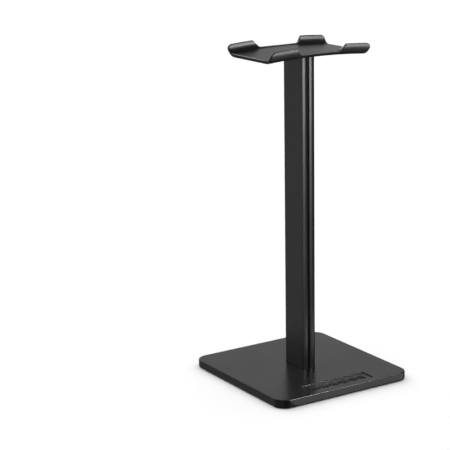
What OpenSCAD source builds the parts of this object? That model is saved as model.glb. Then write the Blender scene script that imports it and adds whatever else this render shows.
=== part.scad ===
// Headphone stand: a weighted base, an extruded column and a soft cradle for the headband.
// Millimetres, +Z up. The origin is the centre of the footprint, on the surface it stands on.
// -Y is the front. The headband arches over the cradle along X.

/* [Base] */
// Width of the base, along the headband
base_w = 122; // [110:1:150]
// Depth of the base, front to back
base_d = 125; // [115:1:150]
// Height of the base's visible side
base_h = 6; // [6:0.1:7]
// Radius of the base's corners, seen from above
base_corner_r = 10; // [6:0.5:14]
// Rounding of the base's upper edge
base_top_r = 0.8; // [0.4:0.1:1]
// Rounding of the base's lower edge
base_bottom_r = 0.4; // [0.2:0.1:0.6]
// Wall thickness of the cover's skirt
skirt_t = 2; // [1.6:0.1:2.4]
// Thickness of the steel weight plate
plate_t = 2; // [1.6:0.1:2]
// Thickness of the closing plate under the weight
bottom_t = 2.2; // [2.2:0.1:2.4]

/* [Panel recess] */
// Width of the shallow recess near the front edge
recess_w = 59; // [40:1:64]
// Depth of the recess, front to back
recess_d = 14; // [10:0.5:15]
// Distance from the base's front edge to the recess
recess_front = 5.5; // [4:0.5:8]
// How far the recess is sunk
recess_sink = 0.7; // [0.3:0.1:0.8]
// Number of raised bars in the recess
bar_count = 21; // [7:2:21]

/* [Feet] */
// Diameter of a rubber foot
foot_d = 12; // [8:1:16]
// Height that a foot stands proud of the base
foot_proud = 0.9; // [0.9:0.1:1.5]
// Distance from the base's side to a foot's centre
foot_inset = 13; // [12:1:18]

/* [Column] */
// Width of the column, along the headband
column_w = 11.4; // [11:0.1:13]
// Depth of the column over its rounded edges
column_d = 27.6; // [27:0.1:30]
// Radius of each of the column's four rounded ribs
rib_r = 2.7; // [2.3:0.1:2.7]
// Height of the column's upper end above the surface
column_top = 255.4; // [200:0.1:300]

/* [Cradle] */
// Length of the cradle, along the headband
cradle_l = 89; // [80:1:110]
// Width of the cradle over its lips
cradle_w = 61.6; // [56:0.1:70]
// Radius of the cradle's arch
arch_r = 530; // [400:10:900]
// Thickness of the cradle's floor
floor_t = 2.8; // [2.8:0.1:3.4]
// Height of the four tabs above the cradle's underside
tab_h = 9.1; // [8:0.1:11]
// Height of the low edge between the tabs, above the underside
low_h = 3.4; // [3.4:0.1:4.6]
// Half the gap between two tabs, at the low edge
gap_foot = 18; // [14:0.1:20]
// Half the gap between two tabs, at their tops
gap_top = 22.5; // [21:0.1:28]
// Rounding of the tabs' outer corners
tab_corner_r = 3.8; // [2:0.1:4.5]

/* [Hidden] */

$fn = 96;
eps = 0.01;

// How far a cut runs past the face it opens
over = 1;

// Base levels, from the surface up
cover_z = foot_proud;
weight_z = cover_z + bottom_t;
skin_z = weight_z + plate_t;
base_z = cover_z + base_h;

// Base: clearances and details
lid_gap = 0.15;
weight_gap = 0.5;
socket_gap = 0.2;
recess_corner_r = 1.2;
bar_w = 1.3;
bar_pitch = 2.4;
bar_short = 1.8;
bar_long = 7.4;
bar_turn = 47;
bar_drop = 0.1;

// Feet
foot_seat = 0.8;
foot_gap = 0.15;
foot_edge_r = 0.4;
feet_x = base_w / 2 - foot_inset;
feet_y = base_d / 2 - foot_inset;

// Screws that close the base
cover_screw_x = 45;
cover_screw_y = 30;
cover_screw_d = 2.5;
cover_screw_l = 5;
cover_head_d = 5;
boss_d = 6.4;
boss_h = 0.5;
boss_gap = 0.5;
cross_w = 0.7;
cross_l = 2.6;
cross_deep = 0.9;
screw_gap = 0.1;
boss_tip_gap = 0.2;

// Column: ports that take the screws, and the hollow between them
port_y = 8;
port_d = 3.3;
thread_d = 4;
thread_l = 14;
thread_gap = 0.02;
hollow_w = 7.6;
hollow_d = 10;
rib_x = column_w / 2 - rib_r;
rib_y = column_d / 2 - rib_r;

// Screws in the column's ends
button_d = 7.6;
button_h = 2.1;
access_d = 9;
hex_af = 2.5;
hex_deep = 1.2;
column_screw_l = 14;
carrier_screw_l = 12;
flat_head_d = 7.6;
flat_cross_w = 1;
flat_cross_l = 4;
flat_cross_deep = 1.2;
crown_share = 0.55;
crown_top_share = 0.62;
screw_hole_d = 4.4;

// Carrier: the rigid plate that the cradle is stretched over
carrier_w = 26;
carrier_d = 34;
carrier_t = 2;
carrier_rim_t = 1.2;
carrier_step = 1.5;
carrier_corner_r = 3;
carrier_gap = 0.05;
plug_h = 8;
plug_gap = 0.1;

// Cradle
lip_r = 9;
lip_inner_r = 6.6;
lip_shift = 0.4;
lip_y = cradle_w / 2 - lip_r;
lip_inner_y = lip_y + lip_shift;
lip_tip_r = 1.04;
lip_tip_y = lip_y + sqrt(pow(lip_r - lip_tip_r, 2) - pow(lip_r - tab_h + lip_tip_r, 2));
gap_foot_r = 2.5;
gap_top_r = 3;
arch_half = asin(cradle_l / 2 / arch_r);
arch_fn = 1440;

// Colours
satin_black = [0.17, 0.17, 0.18];
moulded_black = [0.11, 0.11, 0.12];
soft_black = [0.14, 0.14, 0.15];
rubber_black = [0.07, 0.07, 0.07];
zinc = [0.72, 0.72, 0.7];
steel = [0.5, 0.52, 0.55];
nylon = [0.25, 0.26, 0.28];

// ---- Shared shapes ----

// A rectangle with true round corners
module round_rect(w, d, r) {
    square([w - 2 * r, d], center = true);
    square([w, d - 2 * r], center = true);
    for (x = [-1, 1], y = [-1, 1])
        translate([x * (w / 2 - r), y * (d / 2 - r)]) circle(r);
}

// The section through a slab's edge: r deep, rounded above and below
module edge_section(r, h, top_r, bottom_r) {
    translate([0, bottom_r]) square([r, h - top_r - bottom_r]);
    translate([0, h - top_r - eps]) square([r - top_r, top_r + eps]);
    square([r - bottom_r, bottom_r + eps]);
    translate([r - top_r, h - top_r]) circle(top_r);
    translate([r - bottom_r, bottom_r]) circle(bottom_r);
}

// A slab with round corners whose upper and lower edges are rounded too
module soft_slab(w, d, h, r, top_r, bottom_r) {
    translate([0, 0, h / 2]) cube([w - 2 * r, d - 2 * r, h], center = true);
    for (turn = [0, 180]) rotate(turn) {
        translate([w / 2 - r, 0, 0])
            rotate([90, 0, 0])
            linear_extrude(d - 2 * r, center = true)
            edge_section(r, h, top_r, bottom_r);
        translate([0, d / 2 - r, 0])
            rotate([90, 0, 90])
            linear_extrude(w - 2 * r, center = true)
            edge_section(r, h, top_r, bottom_r);
        translate([w / 2 - r, d / 2 - r, 0])
            rotate_extrude(angle = 90)
            edge_section(r, h, top_r, bottom_r);
        translate([r - w / 2, d / 2 - r, 0])
            rotate(90)
            rotate_extrude(angle = 90)
            edge_section(r, h, top_r, bottom_r);
    }
}

// The column's outline, grown all round by gap: two ribs with a groove between them on each narrow side
module column_outline(gap = 0) {
    square([column_w + 2 * gap, 2 * rib_y], center = true);
    for (x = [-1, 1], y = [-1, 1])
        translate([x * rib_x, y * rib_y]) circle(rib_r + gap);
}

// A countersunk screw: its head's flat face is at z = 0 and its thread points up
module flat_screw(d, head_d, l, slot_w, slot_l, slot_h) {
    cone_h = (head_d - d) / 2;
    difference() {
        union() {
            cylinder(h = cone_h, d1 = head_d, d2 = d);
            cylinder(h = l, d = d);
        }
        for (turn = [0, 90])
            rotate(turn)
            translate([-slot_l / 2, -slot_w / 2, -eps])
            cube([slot_l, slot_w, slot_h + eps]);
    }
}

// The cavity that a countersunk screw needs, opening downwards at z = 0
module flat_screw_seat(d, head_d, l, gap) {
    translate([0, 0, -eps]) cylinder(h = l + eps, d = d + 2 * gap);
    cylinder(h = (head_d - d) / 2, d1 = head_d + 2 * gap, d2 = d + 2 * gap);
}

module at_cover_screws() {
    for (x = [-1, 1], y = [-1, 1])
        translate([x * cover_screw_x, y * cover_screw_y, 0]) children();
}

module at_ports() {
    for (y = [-1, 1]) translate([0, y * port_y, 0]) children();
}

module at_foot(x, y) {
    translate([x * feet_x, y * feet_y, 0]) children();
}

// ---- Base ----

// One bar of the row in the recess, with round ends
module bar(l) {
    square([bar_w, l - bar_w], center = true);
    for (y = [-1, 1]) translate([0, y * (l - bar_w) / 2]) circle(d = bar_w);
}

// The row of bars: their lengths rise and fall like a level meter
module bar_row() {
    for (i = [0 : bar_count - 1]) {
        x = (i - (bar_count - 1) / 2) * bar_pitch;
        l = bar_short + (bar_long - bar_short) * abs(sin(bar_turn * (i + 1)));
        translate([x, 0]) bar(l);
    }
}

module recess() {
    recess_y = recess_front + recess_d / 2 - base_d / 2;
    translate([0, recess_y, base_z - recess_sink]) difference() {
        linear_extrude(recess_sink + over) round_rect(recess_w, recess_d, recess_corner_r);
        translate([0, 0, -over]) linear_extrude(over + recess_sink - bar_drop) bar_row();
    }
}

// Moulded shell: top skin, skirt and four screw bosses
module base_cover() {
    color(satin_black) difference() {
        union() {
            difference() {
                translate([0, 0, cover_z])
                    soft_slab(base_w, base_d, base_h, base_corner_r, base_top_r, base_bottom_r);
                translate([0, 0, cover_z - over])
                    linear_extrude(skin_z - cover_z + over)
                    round_rect(
                        base_w - 2 * skirt_t,
                        base_d - 2 * skirt_t,
                        base_corner_r - skirt_t
                    );
            }
            at_cover_screws()
                translate([0, 0, weight_z])
                cylinder(h = plate_t + boss_h, d = boss_d);
        }
        at_cover_screws()
            translate([0, 0, weight_z - over])
            cylinder(
                h = cover_screw_l - bottom_t + over + boss_tip_gap,
                d = cover_screw_d + 2 * thread_gap
            );
        linear_extrude(base_z + over) column_outline(socket_gap);
        recess();
    }
}

// Steel plate that keeps the stand from tipping and carries the column
module weight_plate() {
    inset = skirt_t + weight_gap;
    color(steel) difference() {
        translate([0, 0, weight_z])
            linear_extrude(plate_t)
            round_rect(base_w - 2 * inset, base_d - 2 * inset, base_corner_r - inset);
        at_cover_screws()
            translate([0, 0, weight_z - over])
            cylinder(h = plate_t + 2 * over, d = boss_d + 2 * boss_gap);
        at_ports()
            translate([0, 0, weight_z - over])
            cylinder(h = plate_t + 2 * over, d = screw_hole_d);
    }
}

// Closing plate inside the skirt, with seats for the feet and ways to the column's screws
module base_bottom() {
    inset = skirt_t + lid_gap;
    color(moulded_black) difference() {
        translate([0, 0, cover_z])
            linear_extrude(bottom_t)
            round_rect(base_w - 2 * inset, base_d - 2 * inset, base_corner_r - inset);
        for (x = [-1, 1], y = [-1, 1])
            at_foot(x, y)
            translate([0, 0, cover_z - over])
            cylinder(h = foot_seat + over, d = foot_d + 2 * foot_gap);
        at_cover_screws()
            translate([0, 0, cover_z])
            flat_screw_seat(cover_screw_d, cover_head_d, bottom_t + over, screw_gap);
        at_ports()
            translate([0, 0, cover_z - over])
            cylinder(h = bottom_t + 2 * over, d = access_d);
    }
}

// Rubber disc glued into its seat
module foot(x, y) {
    color(rubber_black)
        at_foot(x, y)
        rotate_extrude() {
            translate([0, foot_edge_r])
                square([foot_d / 2, foot_proud + foot_seat - foot_edge_r]);
            square([foot_d / 2 - foot_edge_r, foot_edge_r + eps]);
            translate([foot_d / 2 - foot_edge_r, foot_edge_r]) circle(foot_edge_r);
        }
}

module cover_screws() {
    color(zinc)
        at_cover_screws()
        translate([0, 0, cover_z])
        flat_screw(cover_screw_d, cover_head_d, cover_screw_l, cross_w, cross_l, cross_deep);
}

// ---- Column ----

// Aluminium extrusion with a screw port at each side of its hollow, tapped at both ends
module column() {
    column_l = column_top - skin_z;
    color(satin_black) translate([0, 0, skin_z]) difference() {
        linear_extrude(column_l) difference() {
            column_outline();
            square([hollow_w, hollow_d], center = true);
            at_ports() circle(d = port_d);
        }
        at_ports() {
            translate([0, 0, -over])
                cylinder(h = thread_l + over, d = thread_d + 2 * thread_gap);
            translate([0, 0, column_l - thread_l])
                cylinder(h = thread_l + over, d = thread_d + 2 * thread_gap);
        }
    }
}

// Button-head screws, from below, through the steel plate into the column
module column_screws() {
    crown = button_h * crown_share;
    color(zinc) at_ports() difference() {
        union() {
            translate([0, 0, weight_z - button_h + crown])
                cylinder(h = button_h - crown, d = button_d);
            translate([0, 0, weight_z - button_h])
                cylinder(h = crown, d1 = button_d * crown_top_share, d2 = button_d);
            translate([0, 0, weight_z - eps]) cylinder(h = column_screw_l, d = thread_d);
        }
        translate([0, 0, weight_z - button_h - over])
            cylinder(h = hex_deep + over, d = hex_af / cos(30), $fn = 6);
    }
}

// ---- Cradle ----

// Rigid plate on the column's end: its rim holds the cradle, its plug fills the hollow
module headrest_carrier() {
    color(nylon) translate([0, 0, column_top]) difference() {
        union() {
            translate([0, 0, carrier_t - carrier_rim_t])
                linear_extrude(carrier_rim_t)
                round_rect(carrier_w, carrier_d, carrier_corner_r);
            linear_extrude(carrier_t)
                round_rect(
                    carrier_w - 2 * carrier_step,
                    carrier_d - 2 * carrier_step,
                    carrier_corner_r - carrier_step
                );
            translate([0, 0, (over - plug_h) / 2])
                cube(
                    [hollow_w - 2 * plug_gap, hollow_d - 2 * plug_gap, plug_h + over],
                    center = true
                );
        }
        at_ports()
            translate([0, 0, carrier_t])
            mirror([0, 0, 1])
            flat_screw_seat(thread_d, flat_head_d, carrier_t + over, screw_gap);
    }
}

module carrier_screws() {
    color(zinc)
        at_ports()
        translate([0, 0, column_top + carrier_t])
        mirror([0, 0, 1])
        flat_screw(
            thread_d,
            flat_head_d,
            carrier_screw_l,
            flat_cross_w,
            flat_cross_l,
            flat_cross_deep
        );
}

// Half of the cradle's section: x is height above the underside, y is across the headband
module half_section() {
    square([floor_t, lip_inner_y]);
    intersection() {
        difference() {
            translate([lip_r, lip_y]) circle(lip_r);
            translate([floor_t + lip_inner_r, lip_inner_y]) circle(lip_inner_r);
        }
        translate([0, lip_y]) square([tab_h - lip_tip_r, lip_r]);
    }
    translate([tab_h - lip_tip_r, lip_tip_y]) circle(lip_tip_r);
}

// Points of an arc of radius r about c, from angle a to angle b
function arc(c, r, a, b, n = 8) =
    [for (i = [0 : n]) c + r * [cos(a + (b - a) * i / n), sin(a + (b - a) * i / n)]];

// The gap between two tabs, seen from the front: x along the headband, y up from the underside.
// Its sides lean outwards, and round into the low edge below and into the tabs' tops above.
module gap_outline() {
    rise = tab_h - low_h;
    lean = atan2(rise, gap_top - gap_foot);
    foot_run = gap_foot_r * tan(lean / 2);
    top_run = gap_top_r * tan(lean / 2);
    right = concat(
        arc([gap_foot - foot_run, low_h + gap_foot_r], gap_foot_r, -90, lean - 90),
        arc([gap_top + top_run, tab_h - gap_top_r], gap_top_r, 90 + lean, 90),
        [[gap_top + top_run, tab_h + over]]
    );
    left = [for (i = [len(right) - 1 : -1 : 0]) [-right[i].x, right[i].y]];
    polygon(concat(right, left));
}

// What is cut from each outer corner of the tabs
module corner_outline() {
    reach = cradle_l / 2 + (tab_h * cradle_l / 2) / arch_r;
    drop = pow(cradle_l / 2, 2) / 2 / arch_r;
    translate([reach - tab_corner_r, tab_h - drop - tab_corner_r]) difference() {
        square(tab_corner_r + over);
        circle(tab_corner_r);
    }
}

// One soft moulding: an arched floor whose long sides curl up into four tabs
module headrest() {
    color(soft_black) translate([0, 0, column_top]) difference() {
        translate([0, 0, -arch_r])
            rotate([90, 0, 0])
            rotate(90 - arch_half)
            rotate_extrude(angle = 2 * arch_half, $fn = arch_fn)
            translate([arch_r, 0]) {
                half_section();
                mirror([0, 1]) half_section();
            }
        for (side = [-1, 1])
            translate([0, side * (lip_inner_y + lip_r), 0])
            rotate([90, 0, 0])
            linear_extrude(2 * lip_r, center = true) {
                gap_outline();
                corner_outline();
                mirror([1, 0]) corner_outline();
            }
        translate([0, 0, carrier_t - carrier_rim_t - carrier_gap])
            linear_extrude(carrier_rim_t + 2 * carrier_gap)
            round_rect(
                carrier_w + 2 * carrier_gap,
                carrier_d + 2 * carrier_gap,
                carrier_corner_r
            );
        translate([0, 0, -over])
            linear_extrude(carrier_t + over)
            round_rect(
                carrier_w - 2 * (carrier_step - carrier_gap),
                carrier_d - 2 * (carrier_step - carrier_gap),
                carrier_corner_r - carrier_step
            );
    }
}

// ---- Nodes ----

base_cover();
weight_plate();
base_bottom();
foot(-1, -1);  // foot_front_left
foot(1, -1);  // foot_front_right
foot(-1, 1);  // foot_rear_left
foot(1, 1);  // foot_rear_right
cover_screws();
column();
column_screws();
headrest_carrier();
carrier_screws();
headrest();
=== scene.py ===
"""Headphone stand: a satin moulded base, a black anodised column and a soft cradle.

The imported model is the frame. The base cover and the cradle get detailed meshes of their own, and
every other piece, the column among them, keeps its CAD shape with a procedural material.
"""

import math

import bmesh
import bpy
import numpy as np
from mathutils import Matrix, Vector
from mathutils.geometry import delaunay_2d_cdt


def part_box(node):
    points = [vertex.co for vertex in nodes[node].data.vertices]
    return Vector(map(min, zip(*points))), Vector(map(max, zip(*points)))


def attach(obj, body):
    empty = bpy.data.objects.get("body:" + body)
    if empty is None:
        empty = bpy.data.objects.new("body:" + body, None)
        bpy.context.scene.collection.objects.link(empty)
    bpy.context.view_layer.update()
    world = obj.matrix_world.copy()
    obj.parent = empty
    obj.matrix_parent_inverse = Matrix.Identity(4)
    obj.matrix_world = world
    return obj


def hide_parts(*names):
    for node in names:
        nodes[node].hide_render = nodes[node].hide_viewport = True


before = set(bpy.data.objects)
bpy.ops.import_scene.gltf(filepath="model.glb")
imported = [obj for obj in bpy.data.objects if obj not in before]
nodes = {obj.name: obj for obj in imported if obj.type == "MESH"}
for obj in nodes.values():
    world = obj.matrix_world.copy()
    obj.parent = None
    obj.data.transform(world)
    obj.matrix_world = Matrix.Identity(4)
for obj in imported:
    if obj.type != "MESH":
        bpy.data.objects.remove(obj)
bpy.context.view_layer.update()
MM = 0.001
scene = bpy.context.scene

# ---------------------------------------------------------------- camera

CAMERA_AT = Vector((-0.6803, -0.9808, 0.4261))
CAMERA_TO = Vector((-0.04927, 0.03074, 0.12212))
CAMERA_ROLL = -0.01705
CAMERA_LENS = 126.51
SENSOR = 36


def add_camera():
    data = bpy.data.cameras.new("camera")
    data.sensor_width = SENSOR
    data.lens = CAMERA_LENS
    data.clip_start = 0.05
    data.clip_end = 60
    camera = bpy.data.objects.new("camera", data)
    scene.collection.objects.link(camera)
    forward = (CAMERA_TO - CAMERA_AT).normalized()
    right = forward.cross(Vector((0, 0, 1))).normalized()
    up = right.cross(forward)
    right_rolled = right * math.cos(CAMERA_ROLL) + up * math.sin(CAMERA_ROLL)
    up_rolled = right_rolled.cross(forward)
    matrix = np.eye(4)
    matrix[:3, 0] = right_rolled
    matrix[:3, 1] = up_rolled
    matrix[:3, 2] = -forward
    matrix[:3, 3] = CAMERA_AT
    camera.matrix_world = Matrix(matrix.tolist())
    scene.camera = camera


add_camera()

# ---------------------------------------------------------------- material helpers


class Tree:
    """A small builder for one material's nodes."""

    def __init__(self, name):
        self.material = bpy.data.materials.new(name)
        self.material.use_nodes = True
        self.nodes = self.material.node_tree.nodes
        self.links = self.material.node_tree.links
        self.nodes.clear()
        self.out = self.nodes.new("ShaderNodeOutputMaterial")
        self.shader = self.nodes.new("ShaderNodeBsdfPrincipled")
        self.links.new(self.shader.outputs["BSDF"], self.out.inputs["Surface"])
        self.place = self.nodes.new("ShaderNodeTexCoord").outputs["Object"]

    def put(self, target, value):
        if isinstance(value, (int, float, tuple)):
            target.default_value = value
        else:
            self.links.new(value, target)

    def stretched(self, x, y, z):
        node = self.nodes.new("ShaderNodeMapping")
        node.inputs["Scale"].default_value = (x, y, z)
        self.links.new(self.place, node.inputs["Vector"])
        return node.outputs["Vector"]

    def noise(self, scale, detail=4.0, roughness=0.55, vector=None):
        node = self.nodes.new("ShaderNodeTexNoise")
        node.inputs["Scale"].default_value = scale
        node.inputs["Detail"].default_value = detail
        node.inputs["Roughness"].default_value = roughness
        self.links.new(vector or self.place, node.inputs["Vector"])
        return node.outputs["Fac"]

    def cells(self, scale):
        node = self.nodes.new("ShaderNodeTexVoronoi")
        node.feature = "SMOOTH_F1"
        node.inputs["Scale"].default_value = scale
        node.inputs["Smoothness"].default_value = 0.6
        self.links.new(self.place, node.inputs["Vector"])
        return node.outputs["Distance"]

    def spread(self, value, low, high, out_low, out_high):
        node = self.nodes.new("ShaderNodeMapRange")
        node.inputs["From Min"].default_value = low
        node.inputs["From Max"].default_value = high
        node.inputs["To Min"].default_value = out_low
        node.inputs["To Max"].default_value = out_high
        self.links.new(value, node.inputs["Value"])
        return node.outputs["Result"]

    def math(self, kind, a, b):
        node = self.nodes.new("ShaderNodeMath")
        node.operation = kind
        self.put(node.inputs[0], a)
        self.put(node.inputs[1], b)
        return node.outputs["Value"]

    def blend(self, share, a, b):
        node = self.nodes.new("ShaderNodeMix")
        node.data_type = "RGBA"
        self.put(node.inputs["Factor"], share)
        self.put(node.inputs["A"], a)
        self.put(node.inputs["B"], b)
        return node.outputs["Result"]

    def bump(self, height, strength, distance, below=None):
        node = self.nodes.new("ShaderNodeBump")
        node.inputs["Strength"].default_value = strength
        node.inputs["Distance"].default_value = distance
        self.links.new(height, node.inputs["Height"])
        if below is not None:
            self.links.new(below, node.inputs["Normal"])
        return node.outputs["Normal"]

    def edges(self):
        """1 on outer edges, 0 elsewhere."""
        geometry = self.nodes.new("ShaderNodeNewGeometry")
        return self.spread(geometry.outputs["Pointiness"], 0.52, 0.6, 0, 1)

    def varied(self, field, level, change, edge_share=None, edge_level=1):
        """Links a grey that varies around level with a field, and is painted lighter on outer edges as a
        highlight.
        """
        share = self.spread(field, 0.35, 0.65, 0, 1)
        tint = self.blend(share, grey(level * (1 - change)), grey(level * (1 + change)))
        if edge_share is not None:
            # painted highlight: outer edges found by pointiness get a lighter grey
            painted_edge_highlight = self.math("MULTIPLY", self.edges(), edge_share)
            tint = self.blend(painted_edge_highlight, tint, grey(level * edge_level))
        self.put(self.shader.inputs["Base Color"], tint)


def grey(level):
    return (level, level, level, 1)


def moulded_plastic(name, level, rough, grain=900, grain_deep=0.00003):
    """Satin moulded plastic with a spark-eroded grain."""
    t = Tree(name)
    cloud = t.noise(28, detail=5)
    grain_field = t.noise(grain, detail=3, roughness=0.6)
    pits = t.cells(grain * 1.6)
    # outer edges painted lighter as a highlight
    t.varied(cloud, level, 0.15, edge_share=0.6, edge_level=1.8)
    fine = t.spread(grain_field, 0.3, 0.7, -0.03, 0.03)
    broad = t.spread(cloud, 0.3, 0.7, rough - 0.025, rough + 0.025)
    t.put(t.shader.inputs["Roughness"], t.math("ADD", fine, broad))
    t.shader.inputs["Specular IOR Level"].default_value = 0.5
    field = t.math("ADD", grain_field, t.math("MULTIPLY", pits, 0.5))
    t.put(t.shader.inputs["Normal"], t.bump(field, 0.5, grain_deep))
    return t.material


def anodised(name, level, rough):
    """Black anodised extrusion: faint lines along its length and a fine etched grain."""
    t = Tree(name)
    lines = t.noise(1, detail=3, roughness=0.6, vector=t.stretched(2600, 2600, 9))
    etched = t.noise(3000, detail=2)
    cloud = t.noise(22, detail=4)
    # outer edges painted lighter as a highlight
    t.varied(cloud, level, 0.1, edge_share=0.5, edge_level=1.6)
    t.shader.inputs["Metallic"].default_value = 1.0
    broad = t.spread(cloud, 0.3, 0.7, rough - 0.02, rough + 0.02)
    fine = t.spread(lines, 0.3, 0.7, -0.035, 0.035)
    t.put(t.shader.inputs["Roughness"], t.math("ADD", broad, fine))
    normal = t.bump(lines, 0.35, 0.00002)
    t.put(t.shader.inputs["Normal"], t.bump(etched, 0.3, 0.00001, normal))
    return t.material


def soft_rubber(name, level, rough, spec=0.5):
    """Soft moulded rubber: matt, with a leathery grain."""
    t = Tree(name)
    cloud = t.noise(40, detail=5)
    grain = t.cells(1500)
    dust = t.noise(2600, detail=2)
    t.varied(cloud, level, 0.15)
    fine = t.spread(dust, 0.3, 0.7, -0.03, 0.03)
    broad = t.spread(cloud, 0.3, 0.7, rough - 0.03, rough + 0.03)
    t.put(t.shader.inputs["Roughness"], t.math("ADD", fine, broad))
    t.shader.inputs["Specular IOR Level"].default_value = spec
    field = t.math("ADD", grain, t.math("MULTIPLY", dust, 0.6))
    t.put(t.shader.inputs["Normal"], t.bump(field, 0.45, 0.00003))
    return t.material


def plated(name, colour, rough, lines=False):
    """Bare or zinc-plated metal."""
    t = Tree(name)
    cloud = t.noise(220, detail=4)
    if lines:
        scratch = t.noise(1, detail=2, vector=t.stretched(5200, 300, 300))
    else:
        scratch = t.noise(4200, detail=2)
    dark = tuple(c * 0.78 for c in colour) + (1,)
    share = t.spread(cloud, 0.35, 0.7, 0, 1)
    t.put(t.shader.inputs["Base Color"], t.blend(share, colour + (1,), dark))
    t.shader.inputs["Metallic"].default_value = 1.0
    broad = t.spread(cloud, 0.3, 0.7, rough - 0.05, rough + 0.07)
    fine = t.spread(scratch, 0.3, 0.7, -0.05, 0.05)
    t.put(t.shader.inputs["Roughness"], t.math("ADD", broad, fine))
    t.put(t.shader.inputs["Normal"], t.bump(scratch, 0.3, 0.00001))
    return t.material


MATERIALS = {
    "base_abs": moulded_plastic("base_satin_plastic", 0.002, 0.29),
    "weight_steel": plated("weight_plate_steel", (0.42, 0.42, 0.43), 0.45, lines=True),
    "bottom_abs": moulded_plastic("bottom_plastic", 0.008, 0.5, grain=700, grain_deep=0.00005),
    "foot_rubber": soft_rubber("foot_rubber", 0.012, 0.8),
    "screw_zinc": plated("screw_zinc", (0.62, 0.61, 0.58), 0.3),
    "column_aluminium": anodised("column_black_anodised", 0.068, 0.36),
    "carrier_nylon": moulded_plastic("carrier_nylon", 0.03, 0.55, grain=500),
    "headrest_tpu": soft_rubber("cradle_soft_rubber", 0.003, 0.37, spec=0.45),
}
SLOT_OF = {
    "base_cover": "base_abs",
    "weight_plate": "weight_steel",
    "base_bottom": "bottom_abs",
    "cover_screws": "screw_zinc",
    "column": "column_aluminium",
    "column_screws": "screw_zinc",
    "headrest_carrier": "carrier_nylon",
    "carrier_screws": "screw_zinc",
    "headrest": "headrest_tpu",
}


def dress(obj, slot):
    obj.data.materials.clear()
    obj.data.materials.append(MATERIALS[slot])


for name, obj in nodes.items():
    slot = "foot_rubber" if name.startswith("foot_") else SLOT_OF[name]
    for place in obj.material_slots:
        place.material = MATERIALS[slot]

# ---------------------------------------------------------------- mesh helpers


class Shell:
    """Collects points and faces, in millimetres, and makes one piece of them."""

    def __init__(self):
        self.points = []
        self.faces = []

    def add(self, points):
        first = len(self.points)
        self.points += [tuple(p) for p in points]
        return list(range(first, first + len(points)))

    def skin(self, a, b):
        """Quads between two closed rings of the same length."""
        n = len(a)
        for i in range(n):
            j = (i + 1) % n
            self.faces.append((a[i], a[j], b[j], b[i]))

    def fill(self, loops, up=True):
        """A flat face between an outer ring and the rings of its holes."""
        flat = [i for loop in loops for i in loop]
        points = [Vector(self.points[i][:2]) for i in flat]
        edges = []
        at = 0
        for loop in loops:
            n = len(loop)
            edges += [(at + i, at + (i + 1) % n) for i in range(n)]
            at += n
        _, _, triangles, origins, _, _ = delaunay_2d_cdt(points, edges, [], 1, 1e-6)
        rings = [np.array([self.points[i][:2] for i in loop]) for loop in loops]
        for tri in triangles:
            face = [flat[origins[v][0]] for v in tri]
            middle = np.mean([self.points[i][:2] for i in face], axis=0)
            if inside(middle, rings[0]) and not any(inside(middle, r) for r in rings[1:]):
                p = [np.array(self.points[i][:2]) for i in face]
                turn = np.cross(p[1] - p[0], p[2] - p[0])
                self.faces.append(tuple(face if (turn > 0) == up else face[::-1]))

    def build(self, name):
        """An object of all the faces, turned outwards."""
        mesh = bpy.data.meshes.new(name)
        mesh.from_pydata([tuple(c * MM for c in p) for p in self.points], [], self.faces)
        mesh.validate()
        obj = bpy.data.objects.new(name, mesh)
        scene.collection.objects.link(obj)
        work = bmesh.new()
        work.from_mesh(mesh)
        bmesh.ops.recalc_face_normals(work, faces=work.faces)
        work.to_mesh(mesh)
        work.free()
        return obj

    def piece(self, name, slot, node):
        """The same as one smooth piece, which stands for a node."""
        obj = self.build(name)
        obj.data.polygons.foreach_set("use_smooth", [True] * len(obj.data.polygons))
        dress(obj, slot)
        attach(obj, "root")
        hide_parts(node)
        return obj


def inside(point, ring):
    x, y = point
    a = ring
    b = np.roll(ring, -1, axis=0)
    crosses = (a[:, 1] > y) != (b[:, 1] > y)
    safe = np.where(crosses, b[:, 1] - a[:, 1], 1)
    at = a[:, 0] + (y - a[:, 1]) * (b[:, 0] - a[:, 0]) / safe
    return np.count_nonzero(crosses & (x < at)) % 2 == 1


def weigh_normals(obj):
    """Keeps flat faces flat in shading while the small roundings beside them stay smooth."""
    weighted = obj.modifiers.new("weighted", "WEIGHTED_NORMAL")
    weighted.mode = "FACE_AREA"
    weighted.weight = 100
    weighted.keep_sharp = True


def sweep(n, start, end):
    """Angles in radians from start to end, which are in degrees, in n equal steps."""
    return [math.radians(start + (end - start) * i / n) for i in range(n + 1)]


def rounded_ring(w, d, r, z, n=14, centre=(0, 0)):
    """Points of a rectangle with round corners, anticlockwise from above."""
    ring = []
    for k, (sx, sy) in enumerate(((1, 1), (-1, 1), (-1, -1), (1, -1))):
        cx = centre[0] + sx * (w / 2 - r)
        cy = centre[1] + sy * (d / 2 - r)
        for a in sweep(n, 90 * k, 90 * k + 90):
            ring.append((cx + r * math.cos(a), cy + r * math.sin(a), z))
    return ring


def stadium_ring(w, l, z, centre, n=10):
    """Points of a bar with round ends, l long along Y."""
    ring = []
    for sy, start in ((1, 0), (-1, 180)):
        for a in sweep(n, start, start + 180):
            ring.append((
                centre[0] + w / 2 * math.cos(a),
                centre[1] + sy * (l - w) / 2 + w / 2 * math.sin(a),
                z,
            ))
    return ring


def circle_ring(r, z, centre, n=32):
    return [
        (centre[0] + r * math.cos(2 * math.pi * i / n), centre[1] + r * math.sin(2 * math.pi * i / n), z)
        for i in range(n)
    ]


def box_mm(node):
    low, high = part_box(node)
    return np.array(low) / MM, np.array(high) / MM


# ---------------------------------------------------------------- column profile

column_low, column_high = box_mm("column")
COLUMN_W = column_high[0] - column_low[0]
COLUMN_D = column_high[1] - column_low[1]
RIB_R = 2.7
RIB_X = COLUMN_W / 2 - RIB_R
RIB_Y = COLUMN_D / 2 - RIB_R
GROOVE_HALF = 0.05


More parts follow.
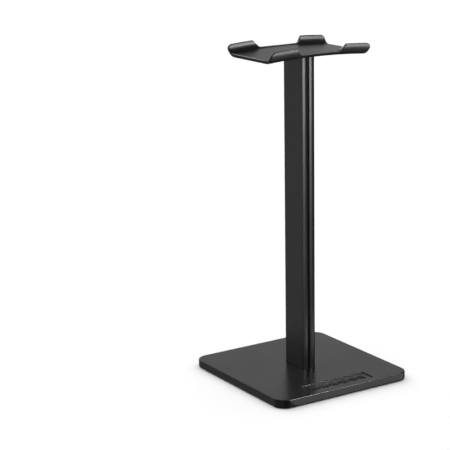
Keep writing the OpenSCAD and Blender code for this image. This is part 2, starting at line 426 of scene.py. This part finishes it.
def column_ring(z, gap=0.0, n=24):
    """The column's outline, grown by gap: two ribs and the groove between them on each narrow side."""
    reach = math.degrees(math.acos(max(-1, (GROOVE_HALF - RIB_X) / (RIB_R + gap))))
    ring = []
    for sx, sy, start, stop in (
        (1, 1, 0, reach),
        (-1, 1, 180 - reach, 180),
        (-1, -1, 180, 180 + reach),
        (1, -1, 360 - reach, 360),
    ):
        for a in sweep(n, start, stop):
            ring.append((
                sx * RIB_X + (RIB_R + gap) * math.cos(a),
                sy * RIB_Y + (RIB_R + gap) * math.sin(a),
                z,
            ))
    return ring


# ---------------------------------------------------------------- base cover

SKIRT_T = 2
SKIRT_FOOT_R = 0.3
BASE_CORNER_R = 10
EDGE_TOP_R = 0.8
EDGE_BOTTOM_R = 0.4
SKIN_T = 1.8
RECESS_W = 59
RECESS_D = 14
RECESS_FRONT = 5.5
RECESS_SINK = 0.7
RECESS_CORNER_R = 1.2
LIP_R = 0.28
FOOT_R = 0.22
BAR_COUNT = 21
BAR_W = 1.3
BAR_PITCH = 2.4
BAR_SHORT = 1.8
BAR_LONG = 7.4
BAR_TURN = math.radians(47)
BAR_DROP = 0.1
BAR_FOOT_R = 0.15
BAR_TOP_R = 0.3
SOCKET_GAP = 0.2
SOCKET_LIP_R = 0.25
BOSS_X = 45
BOSS_Y = 30
BOSS_R = 3.2
BOSS_H = 1.8
BOSS_HOLE_R = 1.27
BOSS_HOLE_UP = 0.8


def base_cover():
    """The moulded cover: skirt, top with the column's socket, front recess with its bars, and bosses."""
    low, high = box_mm("base_cover")
    w = high[0] - low[0]
    d = high[1] - low[1]
    top = high[2]
    bottom = low[2]
    ceiling = top - SKIN_T
    shell = Shell()

    def outer(inset, z):
        return shell.add(rounded_ring(w - 2 * inset, d - 2 * inset, BASE_CORNER_R - inset, z, n=24))

    # Inside of the skirt, round its foot, up the side and over the upper edge
    rings = [outer(SKIRT_T, ceiling), outer(SKIRT_T, bottom + SKIRT_FOOT_R)]
    rings += [
        outer(SKIRT_T - SKIRT_FOOT_R * (1 - math.cos(a)), bottom + SKIRT_FOOT_R * (1 - math.sin(a)))
        for a in sweep(3, 0, 90)[1:]
    ]
    rings += [
        outer(EDGE_BOTTOM_R * (1 - math.sin(a)), bottom + EDGE_BOTTOM_R * (1 - math.cos(a)))
        for a in sweep(6, 0, 90)
    ]
    rings += [
        outer(EDGE_TOP_R * (1 - math.cos(a)), top - EDGE_TOP_R * (1 - math.sin(a)))
        for a in sweep(10, 0, 90)
    ]
    for a, b in zip(rings, rings[1:]):
        shell.skin(a, b)

    # Socket for the column
    def socket(widen, z):
        return shell.add(column_ring(z, SOCKET_GAP + widen))

    lip = [
        socket(SOCKET_LIP_R * (1 - math.sin(a)), top - SOCKET_LIP_R * (1 - math.cos(a)))
        for a in sweep(5, 0, 90)
    ]
    lip.append(socket(0, ceiling))
    for a, b in zip(lip, lip[1:]):
        shell.skin(a, b)

    # Recess near the front edge
    centre = (0, RECESS_FRONT + RECESS_D / 2 - d / 2)
    sink = top - RECESS_SINK

    def hollow(grow, z):
        w = RECESS_W + 2 * grow
        d = RECESS_D + 2 * grow
        return shell.add(rounded_ring(w, d, RECESS_CORNER_R + grow, z, n=8, centre=centre))

    sides = [
        hollow(LIP_R * (1 - math.sin(a)), top - LIP_R * (1 - math.cos(a)))
        for a in sweep(5, 0, 90)
    ]
    sides += [
        hollow(-FOOT_R * (1 - math.cos(a)), sink + FOOT_R * (1 - math.sin(a)))
        for a in sweep(4, 0, 90)
    ]
    for a, b in zip(sides, sides[1:]):
        shell.skin(a, b)

    # Raised bars, whose lengths rise and fall like a level meter
    bar_top = top - BAR_DROP
    feet = []
    for i in range(BAR_COUNT):
        x = (i - (BAR_COUNT - 1) / 2) * BAR_PITCH
        length = BAR_SHORT + (BAR_LONG - BAR_SHORT) * abs(math.sin(BAR_TURN * (i + 1)))
        at = (centre[0] + x, centre[1])

        def bar(grow, z):
            return shell.add(stadium_ring(BAR_W + 2 * grow, length + 2 * grow, z, at))

        rise = [
            bar(BAR_FOOT_R * (1 - math.cos(a)), sink + BAR_FOOT_R * (1 - math.sin(a)))
            for a in sweep(3, 90, 0)
        ]
        rise += [
            bar(-BAR_TOP_R * (1 - math.cos(a)), bar_top - BAR_TOP_R * (1 - math.sin(a)))
            for a in sweep(5, 0, 90)
        ]
        for a, b in zip(rise, rise[1:]):
            shell.skin(a, b)
        feet.append(rise[0])
        shell.faces.append(tuple(rise[-1]))

    # Screw bosses under the skin
    roots = []
    for sx in (-1, 1):
        for sy in (-1, 1):
            at = (sx * BOSS_X, sy * BOSS_Y)
            boss = [
                shell.add(circle_ring(BOSS_R, ceiling, at)),
                shell.add(circle_ring(BOSS_R, ceiling - BOSS_H, at)),
                shell.add(circle_ring(BOSS_HOLE_R, ceiling - BOSS_H, at)),
                shell.add(circle_ring(BOSS_HOLE_R, ceiling + BOSS_HOLE_UP, at)),
            ]
            for a, b in zip(boss, boss[1:]):
                shell.skin(a, b)
            shell.faces.append(tuple(boss[-1]))
            roots.append(boss[0])

    shell.fill([rings[-1], lip[0], sides[0]])
    shell.fill([sides[-1]] + feet)
    shell.fill([rings[0], lip[-1]] + roots, up=False)
    piece = shell.piece("base_cover_moulded", "base_abs", "base_cover")
    weigh_normals(piece)
    return piece


# ---------------------------------------------------------------- cradle

cradle_low, cradle_high = box_mm("headrest")
COLUMN_TOP = column_high[2]
CRADLE_L = 89
CRADLE_W = cradle_high[1] - cradle_low[1]
ARCH_R = 530
FLOOR_T = 2.8
TAB_H = 9.1
LOW_H = 3.4
GAP_FOOT = 18
GAP_TOP = 22.5
GAP_FOOT_R = 2.5
GAP_TOP_R = 3
TAB_CORNER_R = 3.8
LIP_OUT_R = 9
LIP_IN_R = 6.6
LIP_OUT_Y = CRADLE_W / 2 - LIP_OUT_R
LIP_IN_Y = LIP_OUT_Y + 0.4
END_R = 0.9
# How much of its own radius a tight corner of the section gives to the rounding of the ends
TIGHT_SHARE = 0.8
RIM_OUT = 1.15
RIM_IN = 1.0
# Where the sections along the cradle get closer together
SLOPE_FROM = 15.6
SLOPE_TO = 25.5
CORNER_FROM = 40.4
CORNER_TO = CRADLE_L / 2 - END_R - 0.2
# The rigid carrier that the cradle holds
CARRIER_W = 26
CARRIER_D = 34
CARRIER_T = 2
CARRIER_RIM_T = 1.2
CARRIER_STEP = 1.5
CARRIER_CORNER_R = 3
CARRIER_GAP = 0.05


def bezier(a, c, b, n):
    """Points from a to b, rounding the corner c, without the last."""
    a = np.array(a)
    b = np.array(b)
    c = np.array(c)
    steps = np.linspace(0, 1, n, endpoint=False)
    return [tuple((1 - t) ** 2 * a + 2 * t * (1 - t) * c + t * t * b) for t in steps]


def half_section(h):
    """Half of the cradle's section where its edge is h above the underside: (y, height) from the middle
    of the underside, round the lip, to the middle of the floor."""

    def outside(a):
        return (LIP_OUT_Y + LIP_OUT_R * math.cos(a), LIP_OUT_R + LIP_OUT_R * math.sin(a))

    def inner(a):
        return (LIP_IN_Y + LIP_IN_R * math.cos(a), FLOOR_T + LIP_IN_R + LIP_IN_R * math.sin(a))

    angle_out = math.asin((h - LIP_OUT_R) / LIP_OUT_R)
    angle_in = math.asin(min(1, max(-1, (h - FLOOR_T - LIP_IN_R) / LIP_IN_R)))
    corner_out = (LIP_OUT_Y + LIP_OUT_R * math.cos(angle_out), h)
    corner_in = (LIP_IN_Y + LIP_IN_R * math.cos(angle_in), h)
    wall = corner_out[0] - corner_in[0]
    run_out = min(RIM_OUT, wall / 2)
    run_in = min(RIM_IN, wall / 2)
    back_out = angle_out - run_out / LIP_OUT_R
    back_in = max(-math.pi / 2, angle_in - run_in / LIP_IN_R)
    points = [(y, 0) for y in np.linspace(0, LIP_OUT_Y, 12, endpoint=False)]
    points += [outside(a) for a in np.linspace(-math.pi / 2, back_out, 20, endpoint=False)]
    flat_out = (corner_out[0] - run_out, h)
    flat_in = (corner_in[0] + run_in, h)
    points += bezier(outside(back_out), corner_out, flat_out, 9)
    points += [tuple(np.array(flat_out) * (1 - t) + np.array(flat_in) * t) for t in (0, 0.33, 0.67)]
    points += bezier(flat_in, corner_in, inner(back_in), 9)
    points += [inner(a) for a in np.linspace(back_in, -math.pi / 2, 18, endpoint=False)]
    points += [(y, FLOOR_T) for y in np.linspace(LIP_IN_Y, 0, 12, endpoint=False)]
    return points


def section(h):
    """The whole section, as one ring."""
    right = half_section(h)
    left = [(-y, z) for y, z in right[1:]][::-1]
    return right + [(0, FLOOR_T)] + left


def gap_height(x):
    """Height of the gap's outline at x, above the underside at the middle."""
    rise = TAB_H - LOW_H
    lean = math.atan2(rise, GAP_TOP - GAP_FOOT)
    foot_run = GAP_FOOT_R * math.tan(lean / 2)
    top_run = GAP_TOP_R * math.tan(lean / 2)
    x = abs(x)
    foot_from = GAP_FOOT - foot_run
    foot_to = foot_from + GAP_FOOT_R * math.sin(lean)
    top_to = GAP_TOP + top_run
    top_from = top_to - GAP_TOP_R * math.sin(lean)
    if x <= foot_from:
        return LOW_H
    if x < foot_to:
        return LOW_H + GAP_FOOT_R - math.sqrt(GAP_FOOT_R**2 - (x - foot_from) ** 2)
    if x < top_from:
        return LOW_H + (x - GAP_FOOT) * math.tan(lean)
    if x < top_to:
        return TAB_H - GAP_TOP_R + math.sqrt(GAP_TOP_R**2 - (top_to - x) ** 2)
    return TAB_H


def edge_height(turn):
    """How high the cradle's edge stands above the underside, at an angle along the arch."""
    x = abs((ARCH_R + TAB_H) * math.sin(turn))
    drop = ARCH_R * (1 - math.cos(turn))
    height = min(TAB_H, gap_height(x) + drop)
    reach = CRADLE_L / 2 * (1 + TAB_H / ARCH_R)
    past = x - (reach - TAB_CORNER_R)
    if past > 0:
        height = min(height, TAB_H - TAB_CORNER_R + math.sqrt(max(0, TAB_CORNER_R**2 - past**2)))
    return height


def inward(ring, by):
    """The ring moved inwards by a distance along its own normals, and by less round its tight corners."""
    p = np.array(ring)
    before = p - np.roll(p, 1, axis=0)
    after = np.roll(p, -1, axis=0) - p
    step = np.linalg.norm(before, axis=1) * np.linalg.norm(after, axis=1)
    turn = (before[:, 0] * after[:, 1] - before[:, 1] * after[:, 0]) / step
    share = np.minimum(1, TIGHT_SHARE / END_R * np.sqrt(step) / np.maximum(turn, 0.001))
    for _ in range(4):
        share = np.minimum(share, np.minimum(np.roll(share, 1), np.roll(share, -1)))
    for _ in range(4):
        share = (share + np.roll(share, 1) + np.roll(share, -1)) / 3
    tangent = before + after
    tangent /= np.linalg.norm(tangent, axis=1, keepdims=True)
    return p + by * share[:, None] * np.stack([-tangent[:, 1], tangent[:, 0]], axis=1)


def carrier_pocket():
    """The room for the rigid carrier, open below, as an object to cut with."""
    shell = Shell()
    narrow = 2 * (CARRIER_GAP - CARRIER_STEP)
    wide = 2 * CARRIER_GAP
    rim_z = CARRIER_T - CARRIER_RIM_T - CARRIER_GAP
    rings = [
        shell.add(rounded_ring(CARRIER_W + grow, CARRIER_D + grow, r, COLUMN_TOP + z, n=8))
        for grow, r, z in (
            (narrow, CARRIER_CORNER_R - CARRIER_STEP, -1),
            (narrow, CARRIER_CORNER_R - CARRIER_STEP, rim_z),
            (wide, CARRIER_CORNER_R, rim_z),
            (wide, CARRIER_CORNER_R, rim_z + CARRIER_RIM_T + wide),
        )
    ]
    for a, b in zip(rings, rings[1:]):
        shell.skin(a, b)
    shell.faces.append(tuple(rings[0]))
    shell.faces.append(tuple(rings[-1]))
    return shell.build("carrier_pocket")


def cradle():
    """The soft cradle: sections along the arch, rounded ends and the carrier's pocket."""
    shell = Shell()
    half_turn = math.asin(CRADLE_L / 2 / ARCH_R)

    def ring(turn, inset=0.0):
        flat = inward(section(edge_height(turn)), inset)
        centre_z = COLUMN_TOP - ARCH_R
        return shell.add([
            ((ARCH_R + z) * math.sin(turn), y, centre_z + (ARCH_R + z) * math.cos(turn))
            for y, z in flat
        ])

    def end(sign):
        return [
            ring(sign * (half_turn - END_R / ARCH_R * (1 - math.cos(a))), END_R * (1 - math.sin(a)))
            for a in sweep(6, 0, 90)
        ]

    stops = np.concatenate([
        np.linspace(0, SLOPE_FROM, 14, endpoint=False),
        np.linspace(SLOPE_FROM, SLOPE_TO, 44, endpoint=False),
        np.linspace(SLOPE_TO, CORNER_FROM, 12, endpoint=False),
        CORNER_FROM + (CORNER_TO - CORNER_FROM) * np.sin(np.linspace(0, math.pi / 2, 20)),
    ])
    stops = np.concatenate([-stops[:0:-1], stops]) / (CRADLE_L / 2) * half_turn
    rings = end(-1) + [ring(turn) for turn in stops] + end(1)[::-1]
    for a, b in zip(rings, rings[1:]):
        shell.skin(a, b)
    # Each end is closed by strips from the underside to the floor
    for last in (rings[0], rings[-1]):
        half = len(last) // 2
        for i in range(half // 2):
            strip = (i, i + 1, half - 1 - i, half - i)
            shell.faces.append(tuple(last[j] for j in strip))
            shell.faces.append(tuple(last[-j] for j in strip))
    piece = shell.piece("cradle_soft", "headrest_tpu", "headrest")
    tool = carrier_pocket()
    cut = piece.modifiers.new("pocket", "BOOLEAN")
    cut.operation = "DIFFERENCE"
    cut.solver = "EXACT"
    cut.object = tool
    settled = bpy.data.meshes.new_from_object(piece.evaluated_get(bpy.context.evaluated_depsgraph_get()))
    piece.modifiers.clear()
    piece.data = settled
    bpy.data.objects.remove(tool)
    settled.set_sharp_from_angle(angle=math.radians(40))
    dress(piece, "headrest_tpu")
    weigh_normals(piece)
    return piece


cover = base_cover()
soft = cradle()
column = nodes["column"]

# ---------------------------------------------------------------- floor and light, in metres and degrees

FLOOR_HALF = 14
BACKDROP_R = 13
BACKDROP_FOOT = -0.01
BACKDROP_TOP = 12
BACKDROP_SIDES = 64
WALLS_DIM = 0.05
WALL_EDGE = 5
WALLS = (
    # azimuth, elevation, outer and inner half angles, strength, lowest and highest elevation
    (150, 22, 56, 30, 0.57, -4, 27),
    (-165, 30, 28, 12, 1.1, 2, 60),
    (34, 16, 34, 10, 0.25, -80, 80),
    (34, -50, 42, 20, 0.3, -88, 80),
    (-148, -10, 50, 15, 0.24, -80, 80),
    (-70, -5, 50, 15, 0.2, -80, 80),
)
LAMPS = (
    # name, piece lit, azimuth, distance, height, height aimed at, width, length, power
    ("front_left", column, -44, 0.45, 0.33, 0.2, 0.7, 0.4, 4.6),
    ("cradle_right", soft, 34, 0.45, 0.49, 0.26, 0.22, 0.14, 2.7),
    ("base_right", cover, 34, 0.45, 0.42, 0.26, 0.2, 0.1, 4),
    ("low_fill", soft, 30, 0.5, 0.1, 0.26, 0.5, 0.2, 3),
    ("cradle_back", soft, -168, 0.394, 0.568, 0.26, 0.16, 0.1, 0.6),
)
SUN_AT = (142, 80)
SUN_STRENGTH = 3.4
SUN_SPREAD = 120
CARD_LEFT = 0.016
CARD_RIGHT = 0.05
CARD_FRONT = 0.06
CARD_GAP = 0.001
CARD_Z = 0.0004
CARD_STRENGTH = 0.5


def stage_mesh(name, points, faces, material):
    """A thing of the studio, which isn't part of the object."""
    mesh = bpy.data.meshes.new(name)
    mesh.from_pydata(points, [], faces)
    mesh.materials.append(material)
    obj = bpy.data.objects.new(name, mesh)
    scene.collection.objects.link(obj)
    return obj


def floor():
    half = FLOOR_HALF
    corners = [(-half, -half, 0), (half, -half, 0), (half, half, 0), (-half, half, 0)]
    t = Tree("pale_paper")
    cloud = t.noise(6, detail=3)
    t.put(t.shader.inputs["Base Color"], t.blend(cloud, grey(0.84), grey(0.86)))
    t.shader.inputs["Roughness"].default_value = 0.9
    t.shader.inputs["Specular IOR Level"].default_value = 0.1
    obj = stage_mesh("floor", corners, [(0, 1, 2, 3)], t.material)
    obj.visible_glossy = False


def backdrop():
    """A pale round wall far behind everything, which only the camera sees."""
    n = BACKDROP_SIDES
    foot = circle_ring(BACKDROP_R, BACKDROP_FOOT, (0, 0), n)
    top = circle_ring(BACKDROP_R, BACKDROP_TOP, (0, 0), n)
    faces = [(i, (i + 1) % n, n + (i + 1) % n, n + i) for i in range(n)]
    t = Tree("pale_wall")
    t.put(t.shader.inputs["Base Color"], grey(0.02))
    t.put(t.shader.inputs["Emission Color"], t.blend(t.noise(2, detail=2), grey(0.97), grey(1)))
    t.shader.inputs["Emission Strength"].default_value = 1
    obj = stage_mesh("backdrop", foot + top, faces, t.material)
    obj.visible_glossy = False
    obj.visible_diffuse = False
    obj.visible_shadow = False


def heading(azimuth, elevation, distance=1.0):
    """A point at an azimuth from -Y towards +X and an elevation, both in degrees."""
    a = math.radians(azimuth)
    e = math.radians(elevation)
    return (
        distance * math.sin(a) * math.cos(e),
        -distance * math.cos(a) * math.cos(e),
        distance * math.sin(e),
    )


def lamp(name, lit, azimuth, distance, height, aim, wide, long, power):
    """A soft box that lights only one piece, without being in the picture itself."""
    data = bpy.data.lights.new(name, "AREA")
    data.shape = "RECTANGLE"
    data.size = wide
    data.size_y = long
    data.energy = power
    obj = bpy.data.objects.new(name, data)
    scene.collection.objects.link(obj)
    obj.location = Vector(heading(azimuth, 0, distance)) + Vector((0, 0, height))
    obj.rotation_euler = (Vector((0, 0, aim)) - obj.location).to_track_quat("-Z", "Y").to_euler()
    obj.visible_camera = False
    group = bpy.data.collections.new(name)
    group.objects.link(lit)
    obj.light_linking.receiver_collection = group


def studio():
    """The walls of the studio: dim, with broad brighter parts behind the object, at the front right and
    low at the left."""
    world = bpy.data.worlds.new("studio")
    scene.world = world
    world.use_nodes = True
    tree = world.node_tree
    back = tree.nodes["Background"]
    direction = tree.nodes.new("ShaderNodeTexCoord").outputs["Generated"]
    split = tree.nodes.new("ShaderNodeSeparateXYZ")
    tree.links.new(direction, split.inputs[0])

    def calc(kind, a, b):
        node = tree.nodes.new("ShaderNodeMath")
        node.operation = kind
        for socket, value in zip(node.inputs, (a, b)):
            if isinstance(value, (int, float)):
                socket.default_value = value
            else:
                tree.links.new(value, socket)
        return node.outputs["Value"]

    def fade(value, start, stop, strength):
        node = tree.nodes.new("ShaderNodeMapRange")
        node.interpolation_type = "SMOOTHSTEP"
        node.inputs["From Min"].default_value = start
        node.inputs["From Max"].default_value = stop
        node.inputs["To Max"].default_value = strength
        tree.links.new(value, node.inputs["Value"])
        return node.outputs["Result"]

    total = WALLS_DIM
    for azimuth, elevation, outer, inner, strength, lowest, highest in WALLS:
        dot = tree.nodes.new("ShaderNodeVectorMath")
        dot.operation = "DOT_PRODUCT"
        tree.links.new(direction, dot.inputs[0])
        dot.inputs[1].default_value = heading(azimuth, elevation)
        cosines = (math.cos(math.radians(outer)), math.cos(math.radians(inner)))
        patch = fade(dot.outputs["Value"], *cosines, strength)
        for limit, turn in ((lowest, WALL_EDGE), (highest, -WALL_EDGE)):
            edge = (math.sin(math.radians(limit - turn)), math.sin(math.radians(limit + turn)))
            patch = calc("MULTIPLY", patch, fade(split.outputs["Z"], *edge, 1))
        total = calc("ADD", total, patch)
    tree.links.new(total, back.inputs["Strength"])
    back.inputs["Color"].default_value = (1, 1, 1, 1)


def front_card():
    """A bright card lying on the floor in front of the base, seen only in reflections."""
    low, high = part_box("base_cover")
    left = low.x + CARD_LEFT
    right = high.x + CARD_RIGHT
    near = low.y - CARD_FRONT
    far = low.y - CARD_GAP
    corners = [(left, near, CARD_Z), (right, near, CARD_Z), (right, far, CARD_Z), (left, far, CARD_Z)]
    t = Tree("front_card")
    t.put(t.shader.inputs["Base Color"], grey(0.8))
    t.shader.inputs["Emission Color"].default_value = grey(1)
    t.shader.inputs["Emission Strength"].default_value = CARD_STRENGTH
    obj = stage_mesh("front_card", corners, [(0, 1, 2, 3)], t.material)
    obj.visible_camera = False
    obj.visible_diffuse = False
    obj.visible_shadow = False


def back_light():
    """A broad soft light from high up behind, which makes the shadow in front."""
    sun = bpy.data.lights.new("back_light", "SUN")
    sun.energy = SUN_STRENGTH
    sun.angle = math.radians(SUN_SPREAD)
    obj = bpy.data.objects.new("back_light", sun)
    scene.collection.objects.link(obj)
    obj.rotation_euler = Vector(heading(*SUN_AT)).to_track_quat("Z", "Y").to_euler()
    obj.visible_glossy = False


floor()
backdrop()
studio()
back_light()
for values in LAMPS:
    lamp(*values)
front_card()
scene.view_settings.view_transform = "Standard"
